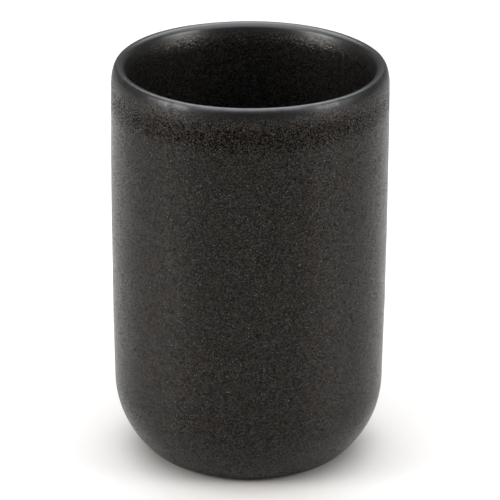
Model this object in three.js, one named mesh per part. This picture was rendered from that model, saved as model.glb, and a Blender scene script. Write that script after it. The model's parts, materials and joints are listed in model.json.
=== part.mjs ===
// Empty candle jar: a slip-cast, glazed ceramic tumbler without a lid. Its wall is very
// slightly barrelled, its heel is one broad curve, its lip is rounded, and it stands on a
// round non-slip pad that is stuck into the shallow recess inside its foot ring.
//
// Units are millimetres and +Z is up. The origin is the centre of the surface that the jar
// stands on, and the jar's axis is the Z axis. Every outline is drawn in the half plane of
// radius (x) and height (y), and is then turned about the axis.

import * as THREE from 'three';

// Overall size
const TOTAL_HEIGHT = 118.5; // from the standing surface to the top of the lip
const BODY_RADIUS = 40; // outside, where the wall is widest

// Outside of the jar
const WIDEST_HEIGHT = 80;
const BARREL_RADIUS = 2850; // radius of the wall's long, shallow bulge
const HEEL_RADIUS = 28.3; // radius of the curve from the wall to the foot
const HEEL_CUT = 6.5; // how far above its lowest point the foot cuts the heel curve
const OUTER_LIP_HEIGHT = 6; // height over which the wall's outside leans in to the lip

// Inside of the jar
const WALL_THICKNESS = 4.6;
const FLOOR_HEIGHT = 6.6; // top of the inner floor
const INNER_HEEL_RADIUS = 18;
const FLARE_RADIUS = 24; // radius of the slow curve in which the wall's inside opens to the lip
const FLARE_ANGLE = THREE.MathUtils.degToRad(14); // how far that curve turns
const INNER_LIP_RADIUS = 2.1;

// Foot and pad
const PAD_RADIUS = 22;
const PAD_THICKNESS = 2;
const PAD_EDGE = 0.3; // chamfer round the pad's lower edge
const PAD_PROUD = 0.6; // how far the pad stands out below the foot ring
const RECESS_CLEARANCE = 1; // between the pad's edge and the foot ring

// Fineness of the faceted solids
const SEGMENTS_AROUND = 64;
const ARC_DIVISIONS = 4; // a three.js path cuts each arc into twice this many steps

const GLAZE = { color: 0x2b2a28, roughness: 0.45, metalness: 0 };
const FOAM = { color: 0x1d1d1e, roughness: 0.95, metalness: 0 };

// Turns a closed or axis-to-axis outline about the vertical axis.
function turned(name, outline, finish) {
  const geometry = new THREE.LatheGeometry(outline.getPoints(ARC_DIVISIONS), SEGMENTS_AROUND);
  geometry.rotateX(Math.PI / 2);
  const mesh = new THREE.Mesh(geometry, new THREE.MeshStandardMaterial(finish));
  mesh.name = name;
  return mesh;
}

// Height angle, seen from the bulge's centre, of a wall point at the given height.
function bulgeAngle(bulgeRadius, height) {
  return Math.asin((height - WIDEST_HEIGHT) / bulgeRadius);
}

// Radius of a bulged wall at the given height.
function wallRadius(bulgeRadius, height) {
  const bulgeCentre = BODY_RADIUS - BARREL_RADIUS;
  return bulgeCentre + bulgeRadius * Math.cos(bulgeAngle(bulgeRadius, height));
}

// The round corner that runs smoothly into a bulged wall, given the height of its centre:
// the corner's centre, and the angle at which corner and wall meet.
function cornerInto(bulgeRadius, cornerRadius, height) {
  const reach = bulgeRadius - cornerRadius;
  const angle = bulgeAngle(reach, height);
  const x = BODY_RADIUS - BARREL_RADIUS + reach * Math.cos(angle);
  return { x, y: height, angle };
}

function jarBody() {
  const bulgeCentre = BODY_RADIUS - BARREL_RADIUS;
  const recessTop = PAD_THICKNESS;
  const recessRadius = PAD_RADIUS + RECESS_CLEARANCE;

  const heel = cornerInto(BARREL_RADIUS, HEEL_RADIUS, PAD_PROUD - HEEL_CUT + HEEL_RADIUS);
  const footAngle = -Math.asin((heel.y - PAD_PROUD) / HEEL_RADIUS);

  const innerBulge = BARREL_RADIUS - WALL_THICKNESS;
  const innerHeel = cornerInto(innerBulge, INNER_HEEL_RADIUS, FLOOR_HEIGHT + INNER_HEEL_RADIUS);

  const outerLipStart = TOTAL_HEIGHT - OUTER_LIP_HEIGHT;
  const lipCentre = TOTAL_HEIGHT - INNER_LIP_RADIUS;
  const flareReach = FLARE_RADIUS - INNER_LIP_RADIUS;
  const flareEnd = lipCentre - flareReach * Math.sin(FLARE_ANGLE);
  const flareCentre = wallRadius(innerBulge, flareEnd) + FLARE_RADIUS;
  const lipPeak = flareCentre - flareReach * Math.cos(FLARE_ANGLE);
  const outerLipWidth = wallRadius(BARREL_RADIUS, outerLipStart) - lipPeak;

  const outline = new THREE.Path();
  outline.moveTo(0, recessTop);
  outline.lineTo(recessRadius, recessTop);
  outline.lineTo(recessRadius, PAD_PROUD);
  // Heel, outer wall and outer half of the lip
  outline.absarc(heel.x, heel.y, HEEL_RADIUS, footAngle, heel.angle, false);
  const outerEnd = bulgeAngle(BARREL_RADIUS, outerLipStart);
  outline.absarc(bulgeCentre, WIDEST_HEIGHT, BARREL_RADIUS, heel.angle, outerEnd, false);
  outline.absellipse(lipPeak, outerLipStart, outerLipWidth, OUTER_LIP_HEIGHT, 0, Math.PI / 2, false);
  // Inner half of the lip, the flare below it, inner wall and the curve into the floor
  const flareStart = Math.PI - FLARE_ANGLE;
  outline.absarc(lipPeak, lipCentre, INNER_LIP_RADIUS, Math.PI / 2, flareStart, false);
  outline.absarc(flareCentre, flareEnd, FLARE_RADIUS, flareStart, Math.PI, false);
  const innerStart = bulgeAngle(innerBulge, flareEnd);
  outline.absarc(bulgeCentre, WIDEST_HEIGHT, innerBulge, innerStart, innerHeel.angle, true);
  outline.absarc(innerHeel.x, innerHeel.y, INNER_HEEL_RADIUS, innerHeel.angle, -Math.PI / 2, true);
  outline.lineTo(0, FLOOR_HEIGHT);
  return turned('jar_body', outline, GLAZE);
}

function basePad() {
  const outline = new THREE.Path();
  outline.moveTo(0, 0);
  outline.lineTo(PAD_RADIUS - PAD_EDGE, 0);
  outline.lineTo(PAD_RADIUS, PAD_EDGE);
  outline.lineTo(PAD_RADIUS, PAD_THICKNESS);
  outline.lineTo(0, PAD_THICKNESS);
  return turned('base_pad', outline, FOAM);
}

const candleJar = new THREE.Group();
candleJar.add(jarBody(), basePad());

export default candleJar;
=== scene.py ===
"""Looks of the empty candle jar: a slip-cast stoneware tumbler in satin black glaze, standing
on a foam pad in a plain pale studio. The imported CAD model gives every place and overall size;
this script gives the jar its fine surface, its glaze and its light. Metres, +Z up."""
import json
import math
import bpy
from mathutils import Matrix, Vector, noise


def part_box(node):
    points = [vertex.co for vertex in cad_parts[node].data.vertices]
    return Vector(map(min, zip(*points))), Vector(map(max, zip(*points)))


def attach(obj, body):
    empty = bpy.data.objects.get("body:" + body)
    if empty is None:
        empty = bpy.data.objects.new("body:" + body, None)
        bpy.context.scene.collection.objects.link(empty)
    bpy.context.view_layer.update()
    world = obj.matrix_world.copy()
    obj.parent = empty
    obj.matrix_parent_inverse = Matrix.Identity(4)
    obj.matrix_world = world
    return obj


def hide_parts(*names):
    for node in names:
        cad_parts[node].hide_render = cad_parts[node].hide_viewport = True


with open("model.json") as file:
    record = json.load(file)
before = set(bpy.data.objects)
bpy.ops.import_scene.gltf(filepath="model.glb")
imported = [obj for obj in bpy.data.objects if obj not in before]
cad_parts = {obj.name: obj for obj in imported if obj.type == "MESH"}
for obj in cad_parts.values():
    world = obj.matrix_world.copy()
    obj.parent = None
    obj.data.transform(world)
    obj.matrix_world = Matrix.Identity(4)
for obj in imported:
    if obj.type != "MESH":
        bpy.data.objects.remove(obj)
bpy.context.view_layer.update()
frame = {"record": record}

MM = 0.001

# Sizes that the frame gives
jar_low, jar_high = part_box("jar_body")
pad_low, pad_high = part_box("base_pad")
BODY_RADIUS = (jar_high.x - jar_low.x) / 2
TOTAL_HEIGHT = jar_high.z
FOOT_HEIGHT = jar_low.z
PAD_RADIUS = (pad_high.x - pad_low.x) / 2
PAD_TOP = pad_high.z
FLOOR_HEIGHT = next(m["pos_m"][2] for m in frame["record"]["mounts"] if m["name"] == "inner_floor")

# Shape of the jar, as in its CAD solid
WIDEST_HEIGHT = 80 * MM
BARREL_RADIUS = 2850 * MM
HEEL_RADIUS = 28.3 * MM
HEEL_CUT = 6.5 * MM
OUTER_LIP_HEIGHT = 6 * MM
WALL_THICKNESS = 4.6 * MM
INNER_HEEL_RADIUS = 18 * MM
FLARE_RADIUS = 24 * MM
FLARE_ANGLE = math.radians(14)
INNER_LIP_RADIUS = 2.1 * MM
RECESS_RADIUS = PAD_RADIUS + 1 * MM

# Fine shape that only the looks need
FOOT_EASING = 0.7 * MM  # the foot ring's edges, sponged round before firing
GLAZE_STEP = 0.15 * MM  # thickness of the glaze where it stops above the foot
GLAZE_LINE = 0.7 * MM  # height of that edge above the foot
WALL_LOBES = ((2, 0.05, 0.6), (3, 0.03, 2.1))  # each: lobes round the jar, millimetres, turn
LIP_LOBES = ((2, 0.06, 1.1), (5, 0.05, 0.4))
BROAD_SWELL, BROAD_SWELL_SIZE = 0.07, 17 * MM  # millimetres high, metres across
SMALL_SWELL, SMALL_SWELL_SIZE = 0.02, 5 * MM
UNEVEN_OUTSIDE = (4 * MM, 14 * MM)  # heights between which the unevenness grows from none to full
UNEVEN_INSIDE = (8 * MM, 20 * MM)
WAVY_LIP_HEIGHT = 8 * MM  # how far below the lip its waves reach
INSIDE_NOISE = 5  # shift of the noise that keeps the two faces of the wall from being copies

# Spacing of the points of the jar's section, and how many of them go round
LIP_PITCH = 0.25 * MM
RING_PITCH = 0.6 * MM
WALL_PITCH = 0.8 * MM
INNER_HEEL_PITCH = 1.2 * MM
INNER_WALL_PITCH = 1.4 * MM
FLAT_PITCH = 2.5 * MM
SEGMENTS_AROUND = 288

# Camera
CAMERA_DISTANCE = 1.0
CAMERA_ELEVATION = math.radians(22.3)
CAMERA_LENS = 246.6
CAMERA_SENSOR = 36
CAMERA_ROLL = math.radians(0.38)
CAMERA_AIM = Vector((0.2 * MM, 0, TOTAL_HEIGHT / 2 + 1.6 * MM))

# Studio
SWEEP_RINGS = (0.25, 0.8, 1.6)  # radii of the floor's rings of points, out to where it bends up
SWEEP_BEND = 0.7
SWEEP_BEND_STEPS = 16
SWEEP_WALL = 0.35
SWEEP_SEGMENTS = 96
SWEEP_LOW_SIDE = 0.3  # height of the sweep at the front and sides, as a part of its height behind
WARM_WHITE = (1.0, 0.94, 0.88)
WHITE = (1.0, 1.0, 1.0)
ROOM_LIGHT = 0.03


# ---------------------------------------------------------------- curves

def arc(centre, radius_x, radius_z, start, end, pitch):
    """Points along an elliptical arc in the (radius, height) plane, about one pitch apart."""
    length = abs(end - start) * (radius_x + radius_z) / 2
    steps = max(4, math.ceil(length / pitch))
    angles = [start + (end - start) * i / steps for i in range(steps + 1)]
    return [(centre[0] + radius_x * math.cos(a), centre[1] + radius_z * math.sin(a)) for a in angles]


def round_arc(centre, radius, start, end, pitch):
    return arc(centre, radius, radius, start, end, pitch)


def line(start, end, pitch):
    """Points along a straight line, about one pitch apart, without its last point."""
    steps = max(1, math.ceil(math.dist(start, end) / pitch))
    return [
        (start[0] + (end[0] - start[0]) * i / steps, start[1] + (end[1] - start[1]) * i / steps)
        for i in range(steps)
    ]


def eased(start, corner, end, steps=6):
    """Points of a soft bend from start to end that leans towards corner."""
    result = []
    for i in range(steps + 1):
        t = i / steps
        a, b, c = (1 - t) ** 2, 2 * t * (1 - t), t ** 2
        radius = a * start[0] + b * corner[0] + c * end[0]
        height = a * start[1] + b * corner[1] + c * end[1]
        result.append((radius, height))
    return result


def smoothstep(low, high, value):
    t = min(1, max(0, (value - low) / (high - low)))
    return t * t * (3 - 2 * t)


def lobes(rows, angle):
    """Height of the waves that rows describe, at an angle round the jar."""
    return sum(size * math.cos(count * angle + turn) for count, size, turn in rows)


# ---------------------------------------------------------------- shape of the jar

BULGE_CENTRE = (BODY_RADIUS - BARREL_RADIUS, WIDEST_HEIGHT)
INNER_BARREL_RADIUS = BARREL_RADIUS - WALL_THICKNESS


def bulge_angle(radius, height):
    return math.asin((height - WIDEST_HEIGHT) / radius)


def wall_radius(bulge_radius, height):
    """Radius of a bulged wall at a height; the bulge's centre is the same inside and out."""
    return BULGE_CENTRE[0] + bulge_radius * math.cos(bulge_angle(bulge_radius, height))


def corner_into(bulge_radius, corner_radius, height):
    """Centre of a round corner that runs smoothly into a bulged wall, and their shared angle."""
    reach = bulge_radius - corner_radius
    angle = bulge_angle(reach, height)
    return (BULGE_CENTRE[0] + reach * math.cos(angle), height), angle


def foot_outline(heel, glaze_angle):
    """The foot's section: the recess for the pad, the bare ring with its eased edges, and the
    bare start of the heel. heel is the heel's centre, and the glaze starts at glaze_angle."""
    bare_heel = HEEL_RADIUS - GLAZE_STEP
    foot_angle = -math.asin((heel[1] - FOOT_HEIGHT) / bare_heel)
    ease_angle = foot_angle + FOOT_EASING / bare_heel
    ease_end = (heel[0] + bare_heel * math.cos(ease_angle), heel[1] + bare_heel * math.sin(ease_angle))
    ring_outer = heel[0] + bare_heel * math.cos(foot_angle)
    ring_end = (ring_outer - FOOT_EASING, FOOT_HEIGHT)
    half = FOOT_EASING / 2
    pitch = FOOT_EASING / 4

    points = line((0, PAD_TOP), (RECESS_RADIUS - FOOT_EASING, PAD_TOP), FLAT_PITCH)
    points += round_arc((RECESS_RADIUS - half, PAD_TOP - half), half, math.pi / 2, 0, pitch)
    points += round_arc((RECESS_RADIUS + half, FOOT_HEIGHT + half), half, math.pi, 1.5 * math.pi, pitch)
    points += line((RECESS_RADIUS + FOOT_EASING, FOOT_HEIGHT), ring_end, RING_PITCH)
    points += eased(ring_end, (ring_outer, FOOT_HEIGHT), ease_end)
    points += round_arc(heel, bare_heel, ease_angle, glaze_angle, RING_PITCH)[1:]
    return points


def jar_outline():
    """The jar's section from the middle of its underside, round the lip, to its inner floor."""
    heel, heel_angle = corner_into(BARREL_RADIUS, HEEL_RADIUS, FOOT_HEIGHT - HEEL_CUT + HEEL_RADIUS)
    inner_heel, inner_heel_angle = corner_into(
        INNER_BARREL_RADIUS, INNER_HEEL_RADIUS, FLOOR_HEIGHT + INNER_HEEL_RADIUS
    )
    glaze_angle = -math.asin((heel[1] - FOOT_HEIGHT - GLAZE_LINE) / HEEL_RADIUS)
    glaze_start = glaze_angle + GLAZE_STEP / HEEL_RADIUS
    outer_lip_start = TOTAL_HEIGHT - OUTER_LIP_HEIGHT
    outer_end = bulge_angle(BARREL_RADIUS, outer_lip_start)
    lip_centre = TOTAL_HEIGHT - INNER_LIP_RADIUS
    flare_start = math.pi - FLARE_ANGLE
    flare_end = lip_centre - (FLARE_RADIUS - INNER_LIP_RADIUS) * math.sin(FLARE_ANGLE)
    flare_centre = wall_radius(INNER_BARREL_RADIUS, flare_end) + FLARE_RADIUS
    lip_peak = flare_centre - (FLARE_RADIUS - INNER_LIP_RADIUS) * math.cos(FLARE_ANGLE)
    lip_width = wall_radius(BARREL_RADIUS, outer_lip_start) - lip_peak
    inner_start = bulge_angle(INNER_BARREL_RADIUS, flare_end)
    right_angle = math.pi / 2

    points = foot_outline(heel, glaze_angle)
    points += round_arc(heel, HEEL_RADIUS, glaze_start, heel_angle, WALL_PITCH)
    points += round_arc(BULGE_CENTRE, BARREL_RADIUS, heel_angle, outer_end, WALL_PITCH)[1:]
    points += arc((lip_peak, outer_lip_start), lip_width, OUTER_LIP_HEIGHT, 0, right_angle, LIP_PITCH)[1:]
    points += round_arc((lip_peak, lip_centre), INNER_LIP_RADIUS, right_angle, flare_start, LIP_PITCH)[1:]
    points += round_arc((flare_centre, flare_end), FLARE_RADIUS, flare_start, math.pi, WALL_PITCH)[1:]
    points += round_arc(
        BULGE_CENTRE, INNER_BARREL_RADIUS, inner_start, inner_heel_angle, INNER_WALL_PITCH
    )[1:]
    points += round_arc(
        inner_heel, INNER_HEEL_RADIUS, inner_heel_angle, -right_angle, INNER_HEEL_PITCH
    )[1:]
    points += line(points[-1], (0, FLOOR_HEIGHT), FLAT_PITCH)[1:]
    points.append((0, FLOOR_HEIGHT))
    return points


def unevenness(x, y, z, side):
    """How far the slip-cast wall stands off its true shape at a point. side shifts the noise."""
    out_of_round = lobes(WALL_LOBES, math.atan2(y, x))
    broad = noise.noise(Vector((x, y, z)) / BROAD_SWELL_SIZE + Vector((side, 0, 0)))
    small = noise.noise(Vector((x, y, z)) / SMALL_SWELL_SIZE + Vector((0, side, 0)))
    return (out_of_round + BROAD_SWELL * broad + SMALL_SWELL * small) * MM


def smooth_object(name, vertices, faces):
    mesh = bpy.data.meshes.new(name)
    mesh.from_pydata(vertices, [], faces)
    mesh.polygons.foreach_set("use_smooth", [True] * len(mesh.polygons))
    mesh.validate()
    made = bpy.data.objects.new(name, mesh)
    bpy.context.scene.collection.objects.link(made)
    return made


def revolve(name, outline, shift):
    """A closed mesh made by turning an outline, whose two ends are on the axis, about Z.
    shift gives a small offset along the radius and the height for each point."""
    rings = outline[1:-1]
    vertices = [(0, 0, outline[0][1])]
    for index, (radius, height) in enumerate(rings):
        for step in range(SEGMENTS_AROUND):
            angle = 2 * math.pi * step / SEGMENTS_AROUND
            x, y = radius * math.cos(angle), radius * math.sin(angle)
            out, up = shift(x, y, height, index)
            scale = 1 + out / radius
            vertices.append((x * scale, y * scale, height + up))
    vertices.append((0, 0, outline[-1][1]))
    last = len(vertices) - 1

    faces = []
    for step in range(SEGMENTS_AROUND):
        following = (step + 1) % SEGMENTS_AROUND
        faces.append((0, 1 + following, 1 + step))
        for ring in range(len(rings) - 1):
            low = 1 + ring * SEGMENTS_AROUND
            high = low + SEGMENTS_AROUND
            faces.append((low + step, low + following, high + following, high + step))
        top = 1 + (len(rings) - 1) * SEGMENTS_AROUND
        faces.append((top + step, top + following, last))
    return smooth_object(name, vertices, faces)


def add_ring_values(piece, name, values):
    """Stores one number per ring of a revolved piece, for its material to read."""
    attribute = piece.data.attributes.new(name, "FLOAT", "POINT")
    spread = [values[0]]
    for value in values[1:-1]:
        spread += [value] * SEGMENTS_AROUND
    spread.append(values[-1])
    attribute.data.foreach_set("value", spread)


def build_jar():
    """The glazed body. For its glaze it stores from_crest, the distance along the section from
    the lip's crest in millimetres, which is below zero outside and above it inside."""
    outline = jar_outline()
    crest = max(range(len(outline)), key=lambda i: outline[i][1])

    def shift(x, y, z, index):
        inside = index + 1 > crest
        side, heights = (INSIDE_NOISE, UNEVEN_INSIDE) if inside else (0, UNEVEN_OUTSIDE)
        out = unevenness(x, y, z, side) * smoothstep(*heights, z)
        rise = smoothstep(TOTAL_HEIGHT - WAVY_LIP_HEIGHT, TOTAL_HEIGHT, z)
        up = rise * MM * lobes(LIP_LOBES, math.atan2(y, x))
        return out, up

    jar = revolve("jar_glazed", outline, shift)
    travelled = [0]
    for before, after in zip(outline, outline[1:]):
        travelled.append(travelled[-1] + math.dist(before, after))
    from_crest = [(length - travelled[crest]) / MM for length in travelled]
    add_ring_values(jar, "from_crest", from_crest)
    return jar


def build_pad():
    """The die-cut foam pad: a crisp upper edge, a rounded lower one and a slight dish."""
    edge = 0.35 * MM  # radius of the lower edge
    cut = 0.15 * MM  # width of the upper edge
    gap = 0.02 * MM  # between the pad and the recess above it
    dish = 0.12 * MM  # how far the middle of the underside stands off the table
    ragged, ragged_size = 0.04 * MM, 1.1 * MM  # unevenness of the cut edge
    halfway = (PAD_RADIUS * 0.8, dish * 0.5)
    outline = line((0, dish), halfway, pitch=1.2 * MM)
    outline += line(halfway, (PAD_RADIUS - edge, 0), pitch=0.7 * MM)
    outline += round_arc((PAD_RADIUS - edge, edge), edge, -math.pi / 2, 0, pitch=edge / 4)
    outline += line((PAD_RADIUS, edge * 1.3), (PAD_RADIUS, PAD_TOP - cut), pitch=0.2 * MM)
    outline += [
        (PAD_RADIUS - gap, PAD_TOP - 0.1 * MM),
        (PAD_RADIUS - cut, PAD_TOP - gap),
        (0, PAD_TOP - gap),
    ]

    def shift(x, y, z, index):
        out = noise.noise(Vector((x, y, z)) / ragged_size) * ragged
        return (out if math.hypot(x, y) > PAD_RADIUS - edge else 0), 0

    return revolve("pad_foam", outline, shift)


# ---------------------------------------------------------------- materials

class Shader:
    """Wires up one Principled material from procedural nodes. Sizes are in millimetres."""

    def __init__(self, name):
        self.material = bpy.data.materials.new(name)
        self.material.use_nodes = True
        self.tree = self.material.node_tree
        self.surface = self.tree.nodes["Principled BSDF"]
        place = self.node("TexCoord").outputs["Object"]
        scaled = self.node("VectorMath", {0: place, "Scale": 1 / MM}, operation="SCALE")
        self.place_mm = scaled.outputs[0]

    def node(self, kind, inputs=(), **settings):
        """A new node. inputs gives its inputs' values, or the outputs that feed them."""
        made = self.tree.nodes.new("ShaderNode" + kind)
        for name, value in settings.items():
            setattr(made, name, value)
        self.feed(made, dict(inputs))
        return made

    def feed(self, node, inputs):
        for name, value in inputs.items():
            if isinstance(value, bpy.types.NodeSocket):
                self.tree.links.new(value, node.inputs[name])
            else:
                node.inputs[name].default_value = value

    def math(self, operation, *values):
        return self.node("Math", enumerate(values), operation=operation).outputs[0]

    def times(self, a, b):
        return self.math("MULTIPLY", a, b)

    def plus(self, a, b):
        return self.math("ADD", a, b)

    def minus(self, a, b):
        return self.math("SUBTRACT", a, b)

    def between(self, value, low, high, to_low=0.0, to_high=1.0):
        """value's smooth step from low to high, as a number from to_low to to_high."""
        inputs = {"Value": value, 1: low, 2: high, 3: to_low, 4: to_high}
        return self.node("MapRange", inputs, interpolation_type="SMOOTHSTEP").outputs[0]

    def mix(self, factor, a, b):
        """The number a where factor is 0, b where it is 1."""
        return self.node("Mix", {0: factor, 2: a, 3: b}).outputs[0]

    def blend(self, factor, a, b):
        """The colour a where factor is 0, b where it is 1."""
        return self.node("Mix", {0: factor, 6: a, 7: b}, data_type="RGBA").outputs[2]

    def noise(self, size, detail=2.0, roughness=0.5, offset=0.0):
        """Noise from 0 to 1 whose blobs are about size millimetres across."""
        moved = self.node("Mapping", {"Vector": self.place_mm, "Location": (offset,) * 3}).outputs[0]
        inputs = {"Vector": moved, "Scale": 1 / size, "Detail": detail, "Roughness": roughness}
        return self.node("TexNoise", inputs).outputs["Fac"]

    def cells(self, size):
        """Cells about size millimetres across: the distance from each one's middle, and a
        random colour for each."""
        made = self.node("TexVoronoi", {"Vector": self.place_mm, "Scale": 1 / size})
        return made.outputs["Distance"], made.outputs["Color"]

    def channel(self, colour):
        """The first channel of a colour, as a number."""
        return self.node("SeparateColor", {"Color": colour}).outputs[0]

    def coordinate(self, axis):
        """One coordinate of the place, in millimetres."""
        return self.node("SeparateXYZ", {"Vector": self.place_mm}).outputs[axis]

    def bump(self, height_mm):
        return self.node("Bump", {"Height": height_mm, "Distance": MM}).outputs[0]

    def finish(self, inputs):
        self.feed(self.surface, inputs)
        return self.material


def grey(level, warmth=0.0):
    """A dark neutral colour; warmth leans it to brown, or below zero to blue."""
    return (level * (1 + warmth), level, level * (1 - warmth), 1)


# The glaze's own colours with painted shade and painted glints among them, the tints of what it reflects,
# and the clay under it
GLAZE_COOL = grey(0.0036, 0.06)
GLAZE_WARM = grey(0.0046, 0.22)
# painted shade: a darker colour for the inside of the jar, where little light reaches
GLAZE_INSIDE_PAINTED_SHADE = grey(0.0022, 0.02)
GLAZE_LIP = grey(0.0050, -0.02)
# painted glint on the grain's high spots
GRAIN_HIGH_PAINTED_GLINT = grey(0.019, 0.08)
# painted shade in the grain's pits
GRAIN_PIT_PAINTED_SHADE = grey(0.0010, 0.05)
# painted glints: pale specks standing for tiny crystals catching the light
SPECK_PAINTED_GLINT = grey(0.08, 0.03)
SHEEN_COOL = (0.96, 0.98, 0.93, 1)
SHEEN_WARM = (1.0, 0.93, 0.86, 1)
SHEEN_BAND = (1.0, 0.85, 0.73, 1)
SHEEN_INSIDE = (0.98, 0.97, 0.95, 1)
SHEEN_LIP = (0.90, 0.94, 1.0, 1)
CLAY_DARK = (0.024, 0.021, 0.019, 1)
CLAY_PALE = (0.050, 0.044, 0.039, 1)

# Sizes of the glaze's grain, in millimetres
CRYSTAL_SIZE = 0.23
SAND_SIZE = 0.34
SPECK_SIZE = 0.55


class Glaze(Shader):
    """The satin black glaze: a fine sandy grain that runs out to smooth gloss on the lip, and
    bare clay on the foot ring."""

    def __init__(self):
        super().__init__("satin_black_glaze")
        self.lay_zones()
        self.lay_grain()
        bare = self.bare_clay()
        clay = self.blend(self.between(self.noise(0.35, 4, 0.7), 0.35, 0.7), CLAY_DARK, CLAY_PALE)
        self.finish({
            "Base Color": self.blend(bare, self.tone(), clay),
            "Roughness": self.mix(bare, self.roughness(), 0.85),
            "Specular IOR Level": self.gloss(),
            "Specular Tint": self.sheen(),
            "Normal": self.relief(),
        })

    def lay_zones(self):
        """Where things are. inside is the far side of the lip's crest. By the distance from the
        crest, with ragged edges, grain is all over the wall but not on the lip, and band is round
        the shoulder, where the grain is rougher, reflects less and has more pits darkened by painted
        shade. clouds are everywhere."""
        from_crest = self.node("Attribute", attribute_name="from_crest").outputs["Fac"]
        self.inside = self.between(from_crest, 0.0, 0.5)
        ragged = self.times(self.minus(self.noise(3.0, 3), 0.5), 2.4)
        self.from_lip = self.plus(self.math("ABSOLUTE", from_crest), ragged)
        outside_grain = self.between(self.from_lip, 0.4, 4.5)
        inside_grain = self.between(self.from_lip, 2.0, 5.5)
        self.grain = self.mix(self.inside, outside_grain, inside_grain)
        band_top = self.between(self.from_lip, 3.5, 8.0)
        band_bottom = self.between(self.from_lip, 10.5, 15.5, 1.0, 0.0)
        self.band = self.times(self.times(band_top, band_bottom), self.minus(1.0, self.inside))
        self.clouds = self.between(self.noise(8, 3, offset=7.0), 0.38, 0.62)

    def lay_grain(self):
        """The grain's pits and high spots, each from 0 to 1."""
        crystal = self.channel(self.cells(CRYSTAL_SIZE)[1])
        fleck = self.mix(0.82, self.noise(SAND_SIZE, 1), crystal)
        # more pits in the band round the shoulder, which painted shade makes darker there
        pit_top = self.plus(0.44, self.times(self.band, 0.17))
        pit = self.between(fleck, pit_top, self.minus(pit_top, 0.24))
        depth = self.times(self.grain, self.between(self.band, 0.0, 1.0, 0.72, 0.90))
        self.pit = self.times(pit, depth)
        self.high = self.times(self.grain, self.between(fleck, 0.56, 0.86))

    def tone(self):
        """Near-black with faint clouds, pits darkened by painted shade, high spots made paler by painted
        glints, a few pale specks that are painted glints, and painted shade inside the jar.
        """
        tone = self.blend(self.clouds, GLAZE_COOL, GLAZE_WARM)
        # painted shade: the inside of the jar is given a darker colour
        tone = self.blend(self.inside, tone, GLAZE_INSIDE_PAINTED_SHADE)
        # painted glint: the grain's high spots are paler
        tone = self.blend(self.high, tone, GRAIN_HIGH_PAINTED_GLINT)
        # painted shade: the grain's pits are darker
        tone = self.blend(self.pit, tone, GRAIN_PIT_PAINTED_SHADE)
        # painted glints: a few pale specks, fewer inside the jar
        distance, chance = self.cells(SPECK_SIZE)
        chosen = self.between(self.channel(chance), 0.955, 0.96)
        glint_speck = self.times(self.between(distance, 0.32, 0.20), chosen)
        glint_speck = self.times(glint_speck, self.minus(self.grain, self.times(self.inside, 0.7)))
        tone = self.blend(self.math("MAXIMUM", glint_speck, 0.0), tone, SPECK_PAINTED_GLINT)
        return self.blend(self.grain, GLAZE_LIP, tone)

    def sheen(self):
        """The tint of reflections: browner in the band and bluer on the lip."""
        sheen = self.blend(self.clouds, SHEEN_COOL, SHEEN_WARM)
        sheen = self.blend(self.band, sheen, SHEEN_BAND)
        sheen = self.blend(self.inside, sheen, SHEEN_INSIDE)
        return self.blend(self.between(self.from_lip, 1.5, 7.0), SHEEN_LIP, sheen)

    def relief(self):
        """The sand under the glaze, rougher in the band, and the glaze's faint orange peel."""
        sand = self.noise(SAND_SIZE, 1, offset=3.0)
        relief = self.times(sand, self.plus(self.times(self.grain, 0.10), 0.01))
        relief = self.plus(relief, self.times(self.times(sand, self.band), 0.05))
        return self.bump(self.plus(relief, self.times(self.noise(2.6, 1.5), 0.02)))

    def roughness(self):
        """Satin on the wall, softer on the lip and dull in the pits."""
        roughness = self.between(self.noise(6, 3), 0.3, 0.7, 0.20, 0.25)
        roughness = self.plus(roughness, self.between(self.from_lip, 2.0, 8.0, 0.13, 0.0))
        return self.plus(roughness, self.times(self.pit, 0.30))

    def gloss(self):
        """Strength of reflections: high on the lip, lower in the band and down the inside,
        glinting on the high spots, dull in the pits and where the glaze is thin at the foot."""
        wall = self.between(self.from_lip, 0.2, 2.2, 0.66, 0.25)
        wall = self.times(wall, self.between(self.from_lip, 3.5, 8.5, 1.0, 0.45))
        wall = self.plus(wall, self.between(self.from_lip, 10.0, 14.5, 0.0, 0.0375))
        inner = self.between(self.from_lip, 2.5, 9.0, 0.48, 0.27)
        inner = self.times(inner, self.between(self.from_lip, 8.0, 28.0, 1.0, 0.70))
        gloss = self.mix(self.inside, wall, inner)
        glint = self.times(self.high, self.mix(self.inside, 0.7, 2.0))
        gloss = self.times(gloss, self.minus(self.plus(1.0, glint), self.pit))
        foot = FOOT_HEIGHT / MM
        thin = self.between(self.coordinate("Z"), foot + 0.5, foot + 4.0, 1.0, 0.0)
        return self.times(gloss, self.minus(1.0, self.times(thin, 0.6)))

    def bare_clay(self):
        """1 on the bare foot, 0 above the slightly wavy edge of the glaze."""
        line_height = (FOOT_HEIGHT + GLAZE_LINE) / MM
        waves = self.times(self.minus(self.noise(1.5, 3), 0.5), 0.2)
        height = self.plus(self.coordinate("Z"), waves)
        return self.between(height, line_height + 0.03, line_height - 0.03)


def foam_material():
    """Closed-cell foam: dull near-black with tiny open cells on its cut faces, whose grooves are darker
    with painted shade.
    """
    s = Shader("black_foam")
    distance = s.cells(0.45)[0]
    # painted shade: darker in the grooves between the cells, where the bump dips
    tone = s.blend(s.between(distance, 0.28, 0.42), grey(0.016), grey(0.007))
    tone = s.blend(s.between(s.noise(5, 3), 0.4, 0.7, 0.0, 0.4), tone, grey(0.022, 0.03))
    normal = s.bump(s.times(distance, -0.12))
    return s.finish({"Base Color": tone, "Roughness": 0.88, "Specular IOR Level": 0.3, "Normal": normal})


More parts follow.
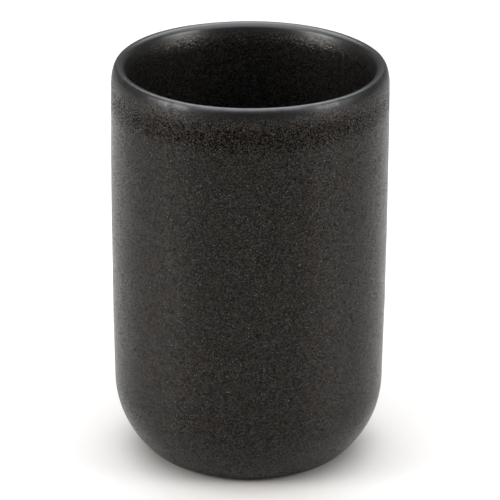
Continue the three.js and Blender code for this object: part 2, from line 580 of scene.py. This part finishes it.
def floor_material():
    """Pale laminate with a semi-gloss sheen; from half a metre behind the jar on, painted shade turns it
    darker grey, as the light's falloff with distance would.
    """
    s = Shader("pale_laminate")
    tone = s.blend(s.noise(0.8, 4, 0.6), grey(0.50), grey(0.52))
    # painted shade: the floor grows darker grey from 0.48 to 1 m behind the jar, standing for the light
    # falling off
    tone = s.blend(s.between(s.coordinate("Y"), 480.0, 1000.0), tone, grey(0.28))
    return s.finish({"Base Color": tone, "Roughness": 0.27, "Specular IOR Level": 0.6})


# ---------------------------------------------------------------- studio

def build_sweep():
    """A round floor that curves up into a wall, which is low except behind the jar."""
    flat = SWEEP_RINGS[-1]
    outline = [(radius, 0) for radius in SWEEP_RINGS]
    for i in range(1, SWEEP_BEND_STEPS + 1):
        a = math.pi / 2 * i / SWEEP_BEND_STEPS
        outline.append((flat + SWEEP_BEND * math.sin(a), SWEEP_BEND * (1 - math.cos(a))))
    outline.append((flat + SWEEP_BEND, SWEEP_BEND + SWEEP_WALL))

    vertices = [(0, 0, 0)]
    for radius, height in outline:
        for step in range(SWEEP_SEGMENTS):
            angle = 2 * math.pi * step / SWEEP_SEGMENTS
            behind = smoothstep(0.3, 0.9, math.sin(angle))
            rise = SWEEP_LOW_SIDE + (1 - SWEEP_LOW_SIDE) * behind
            vertices.append((radius * math.cos(angle), radius * math.sin(angle), height * rise))
    faces = []
    for step in range(SWEEP_SEGMENTS):
        following = (step + 1) % SWEEP_SEGMENTS
        faces.append((0, 1 + step, 1 + following))
        for ring in range(len(outline) - 1):
            low = 1 + ring * SWEEP_SEGMENTS
            high = low + SWEEP_SEGMENTS
            faces.append((low + step, high + step, high + following, low + following))
    sweep = smooth_object("studio_sweep", vertices, faces)
    sweep.data.materials.append(floor_material())


def softbox(name, azimuth, elevation, distance, width, height, watts, colour):
    """An area light that faces the jar. Azimuth 0 is the camera's side, 90 is at +X."""
    light = bpy.data.lights.new(name, "AREA")
    light.shape = "RECTANGLE"
    light.size, light.size_y = width, height
    light.energy = watts
    light.color = colour
    lamp = bpy.data.objects.new(name, light)
    a, e = math.radians(azimuth), math.radians(elevation)
    direction = Vector((math.sin(a) * math.cos(e), -math.cos(a) * math.cos(e), math.sin(e)))
    lamp.location = Vector((0, 0, TOTAL_HEIGHT / 2)) + direction * distance
    lamp.rotation_mode = "QUATERNION"
    lamp.rotation_quaternion = direction.to_track_quat("Z", "Y")
    bpy.context.scene.collection.objects.link(lamp)


def build_lights():
    # azimuth, elevation, distance, width, height, watts
    softbox("softbox_left", -68, 21, 1.1, 0.38, 0.50, 11.6, WARM_WHITE)
    softbox("softbox_right", 68, 21, 1.1, 0.38, 0.50, 9.6, WARM_WHITE)
    softbox("softbox_back", 180, 56, 1.2, 1.0, 0.45, 7.0, WHITE)
    softbox("softbox_top", 0, 90, 1.2, 2.2, 2.2, 62, WHITE)


def build_world():
    """The room beyond the softboxes: an even, very dim light."""
    world = bpy.data.worlds.new("studio")
    world.use_nodes = True
    background = world.node_tree.nodes["Background"]
    background.inputs["Color"].default_value = (*WHITE, 1)
    background.inputs["Strength"].default_value = ROOM_LIGHT
    bpy.context.scene.world = world


def build_camera():
    data = bpy.data.cameras.new("camera")
    data.lens = CAMERA_LENS
    data.sensor_width = CAMERA_SENSOR
    data.clip_start, data.clip_end = 0.05, 20
    camera = bpy.data.objects.new("camera", data)
    back = Vector((0, -math.cos(CAMERA_ELEVATION), math.sin(CAMERA_ELEVATION)))
    turn = back.to_track_quat("Z", "Y").to_matrix().to_4x4()
    roll = Matrix.Rotation(CAMERA_ROLL, 4, "Z")
    camera.matrix_world = Matrix.Translation(CAMERA_AIM + back * CAMERA_DISTANCE) @ turn @ roll
    bpy.context.scene.collection.objects.link(camera)
    bpy.context.scene.camera = camera


# ---------------------------------------------------------------- putting it together

build_camera()
build_sweep()
build_world()
build_lights()
bpy.context.scene.view_settings.view_transform = "Standard"

jar = build_jar()
jar.data.materials.append(Glaze().material)
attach(jar, "root")
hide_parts("jar_body")

pad = build_pad()
pad.data.materials.append(foam_material())
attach(pad, "root")
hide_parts("base_pad")
